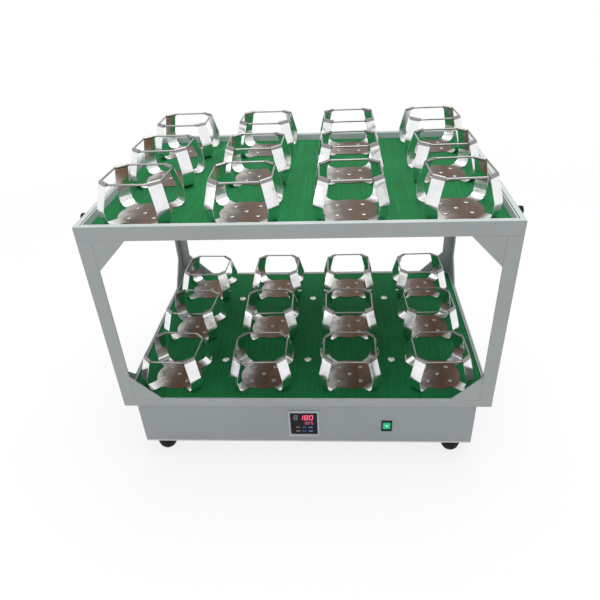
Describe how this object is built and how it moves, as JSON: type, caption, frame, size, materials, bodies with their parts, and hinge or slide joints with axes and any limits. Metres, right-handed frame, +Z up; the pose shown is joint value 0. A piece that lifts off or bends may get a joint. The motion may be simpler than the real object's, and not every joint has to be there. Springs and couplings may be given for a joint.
{
  "type": "orbital shaker",
  "caption": "Bench-top orbital shaker: low grey base with an eccentric drive carrying an open two-deck frame of green-matted trays with sprung steel flask clamps.",
  "frame": {"origin": "on the bench under the centre of the carriage at rest", "axes": "+X to the right seen from the front, along the longest side; +Y from the panel towards the back; +Z up"},
  "size_m": [0.669, 0.472, 0.5339],
  "materials": {
    "base_paint": "semi-gloss pale grey paint",
    "bearing_steel": "ground",
    "belt_rubber": "matte",
    "bezel_plastic": "moulded",
    "board_green": "coated board",
    "cast_block": "painted casting",
    "clamp_steel": "polished stainless strip",
    "counterweight_iron": "as cast",
    "foot_rubber": "matte",
    "frame_paint": "semi-gloss pale grey paint",
    "inlet_black": "moulded",
    "key_blue": "moulded",
    "key_brown": "moulded",
    "knob_black": "knurled steel, blackened",
    "mat_green": "ribbed, matte",
    "module_black": "moulded",
    "motor_case": "black paint",
    "pad_rubber": "matte",
    "plate_steel": "zinc-plated sheet",
    "pulley_metal": "turned",
    "ring_wire": "bright stainless wire",
    "rocker_green": "lit, translucent",
    "stud_steel": "turned",
    "switch_black": "moulded",
    "tray_paint": "semi-gloss pale grey paint",
    "window_black": "gloss"
  },
  "bodies": {
    "base": {"base_housing": "base_paint", "bottom_plate": "plate_steel", "rubber_feet": "foot_rubber", "main_bearing_housing": "cast_block", "main_bearing": "bearing_steel", "motor_plate": "plate_steel", "drive_motor": "motor_case", "drive_belt": "belt_rubber", "idler_posts": "cast_block", "display_bezel": "bezel_plastic", "display_window": "window_black", "display_module": "module_black", "switch_body": "switch_black", "power_inlet": "inlet_black", "control_board": "board_green"},
    "crank": {"crank_spindle": "bearing_steel", "driven_pulley": "pulley_metal", "counterweight": "counterweight_iron"},
    "motor_rotor": {"motor_pulley": "pulley_metal"},
    "idler_front_left": {"idler_crank_front_left": "bearing_steel"},
    "idler_front_right": {"idler_crank_front_right": "bearing_steel"},
    "idler_back": {"idler_crank_back": "bearing_steel"},
    "carriage": {"platform_plate": "frame_paint", "carriage_bearing_housing": "cast_block", "carriage_bearing": "bearing_steel", "idler_blocks": "cast_block", "lower_frame": "frame_paint", "upper_frame": "frame_paint", "uprights": "frame_paint", "gussets": "frame_paint", "frame_pads": "pad_rubber", "lower_tray": "tray_paint", "lower_mat": "mat_green", "clamps_lower_front": "clamp_steel", "clamps_lower_middle": "clamp_steel", "clamps_lower_back": "clamp_steel", "rings_lower_front": "ring_wire", "rings_lower_middle": "ring_wire", "rings_lower_back": "ring_wire"},
    "upper_deck": {"upper_tray": "tray_paint", "upper_mat": "mat_green", "clamps_upper_front": "clamp_steel", "clamps_upper_middle": "clamp_steel", "clamps_upper_back": "clamp_steel", "rings_upper_front": "ring_wire", "rings_upper_middle": "ring_wire", "rings_upper_back": "ring_wire"},
    "knob_left": {"lock_stud_left": "stud_steel", "lock_knob_left": "knob_black"},
    "knob_right": {"lock_stud_right": "stud_steel", "lock_knob_right": "knob_black"},
    "rocker": {"switch_rocker": "rocker_green"},
    "key_1": {"panel_key_1": "key_brown"},
    "key_2": {"panel_key_2": "key_blue"},
    "key_3": {"panel_key_3": "key_blue"},
    "key_4": {"panel_key_4": "key_blue"},
    "key_5": {"panel_key_5": "key_blue"},
    "key_6": {"panel_key_6": "key_blue"}
  },
  "joints": [
    {"name": "crank_spin", "type": "hinge", "parent": "base", "child": "crank", "pos_m": [-0.00292, 0.00956, 0.084], "axis": [0, 0, 1], "continuous": true},
    {"name": "motor_spin", "type": "hinge", "parent": "base", "child": "motor_rotor", "pos_m": [0.1438, 0.04075, 0.075], "axis": [0, 0, 1], "continuous": true},
    {"name": "idler_spin_front_left", "type": "hinge", "parent": "base", "child": "idler_front_left", "pos_m": [-0.23792, -0.14044, 0.1], "axis": [0, 0, 1], "continuous": true},
    {"name": "idler_spin_front_right", "type": "hinge", "parent": "base", "child": "idler_front_right", "pos_m": [0.23208, -0.14044, 0.1], "axis": [0, 0, 1], "continuous": true},
    {"name": "idler_spin_back", "type": "hinge", "parent": "base", "child": "idler_back", "pos_m": [-0.00292, 0.15956, 0.1], "axis": [0, 0, 1], "continuous": true},
    {"name": "carriage_orbit", "type": "hinge", "parent": "crank", "child": "carriage", "pos_m": [0, 0, 0.127], "axis": [0, 0, 1], "continuous": true},
    {"name": "upper_deck_lift", "type": "slide", "parent": "carriage", "child": "upper_deck", "axis": [0, 0, 1], "range_m": [0, 0.06]},
    {"name": "lock_turn_left", "type": "hinge", "parent": "carriage", "child": "knob_left", "pos_m": [-0.3255, -0.178, 0.471], "axis": [-1, 0, 0], "range_deg": [0, 1440]},
    {"name": "lock_turn_right", "type": "hinge", "parent": "carriage", "child": "knob_right", "pos_m": [0.3255, -0.178, 0.471], "axis": [1, 0, 0], "range_deg": [0, 1440]},
    {"name": "switch_tilt", "type": "hinge", "parent": "base", "child": "rocker", "pos_m": [0.148, -0.21244, 0.07], "axis": [1, 0, 0], "range_deg": [-20, 0]},
    {"name": "key_press_1", "type": "slide", "parent": "base", "child": "key_1", "axis": [0, 1, 0], "range_m": [0, 0.0005], "stiffness_N_per_m": 400},
    {"name": "key_press_2", "type": "slide", "parent": "base", "child": "key_2", "axis": [0, 1, 0], "range_m": [0, 0.0005], "stiffness_N_per_m": 400},
    {"name": "key_press_3", "type": "slide", "parent": "base", "child": "key_3", "axis": [0, 1, 0], "range_m": [0, 0.0005], "stiffness_N_per_m": 400},
    {"name": "key_press_4", "type": "slide", "parent": "base", "child": "key_4", "axis": [0, 1, 0], "range_m": [0, 0.0005], "stiffness_N_per_m": 400},
    {"name": "key_press_5", "type": "slide", "parent": "base", "child": "key_5", "axis": [0, 1, 0], "range_m": [0, 0.0005], "stiffness_N_per_m": 400},
    {"name": "key_press_6", "type": "slide", "parent": "base", "child": "key_6", "axis": [0, 1, 0], "range_m": [0, 0.0005], "stiffness_N_per_m": 400}
  ],
  "couplings": [
    {"joint": "carriage_orbit", "follows": "crank_spin", "ratio": -1},
    {"joint": "motor_spin", "follows": "crank_spin", "ratio": 2.75},
    {"joint": "idler_spin_front_left", "follows": "crank_spin", "ratio": 1},
    {"joint": "idler_spin_front_right", "follows": "crank_spin", "ratio": 1},
    {"joint": "idler_spin_back", "follows": "crank_spin", "ratio": 1}
  ]
}
